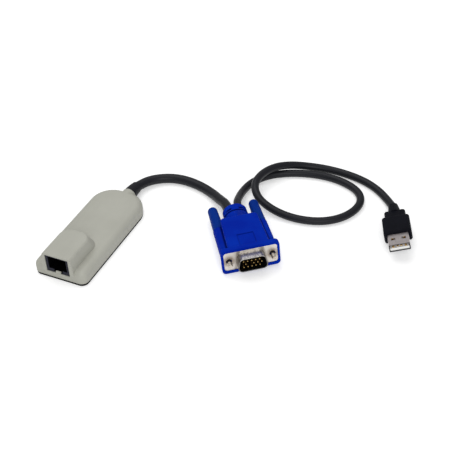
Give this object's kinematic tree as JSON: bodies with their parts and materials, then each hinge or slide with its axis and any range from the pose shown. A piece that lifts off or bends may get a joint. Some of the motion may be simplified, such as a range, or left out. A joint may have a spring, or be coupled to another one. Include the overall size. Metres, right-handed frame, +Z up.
{
  "type": "kvm dongle",
  "caption": "Network jack module that joins a computer to a switch: a housing on a lead to a video plug with thumbscrews, and a looped lead on to a data plug.",
  "frame": {"origin": "middle of the housing, on the surface it stands on", "axes": "+Y along the housing from the jack to the lead, +Z up out of the surface, +X to the right seen facing the jack"},
  "size_m": [0.1934, 0.1549, 0.018],
  "materials": {
    "housing_plastic": "fine texture",
    "base_plastic": "fine texture",
    "steel": "zinc plated",
    "board_green": "solder mask",
    "black_plastic": "moulded",
    "chip_black": "moulded",
    "insulator_black": "moulded",
    "white_plastic": "moulded",
    "wire_jacket": "smooth",
    "black_rubber": "satin",
    "lead_jacket": "satin",
    "blue_plastic": "fine texture",
    "knob_blue": "satin",
    "nickel": "nickel plated",
    "gold": "gold plated"
  },
  "bodies": {
    "module": {"top_cover": "housing_plastic", "base_cover": "base_plastic", "case_screws": "steel", "main_board": "board_green", "network_jack": "black_plastic", "jack_contacts": "gold", "line_transformer": "black_plastic", "main_chip": "chip_black", "video_buffer": "chip_black", "crystal": "nickel", "wire_header": "white_plastic", "lead_wires": "wire_jacket", "cable_boot": "black_rubber", "video_lead": "lead_jacket", "video_hood": "blue_plastic", "video_shell": "nickel", "video_rear_shell": "nickel", "video_insulator": "insulator_black", "video_pins": "gold", "data_lead": "lead_jacket", "data_body": "black_rubber", "data_shell": "nickel", "data_tongue": "white_plastic", "data_contacts": "gold"},
    "left_thumbscrew": {"thumb_knob_left": "knob_blue", "thumb_screw_left": "nickel"},
    "right_thumbscrew": {"thumb_knob_right": "knob_blue", "thumb_screw_right": "nickel"}
  },
  "joints": [
    {"name": "left_thumbscrew_turn", "type": "hinge", "parent": "module", "child": "left_thumbscrew", "pos_m": [0.08636, 0.00163, 0.00851], "axis": [0.5945, -0.8034, 0.0332], "continuous": true},
    {"name": "right_thumbscrew_turn", "type": "hinge", "parent": "module", "child": "right_thumbscrew", "pos_m": [0.1064, 0.01651, 0.00973], "axis": [0.5945, -0.8034, 0.0332], "continuous": true}
  ]
}
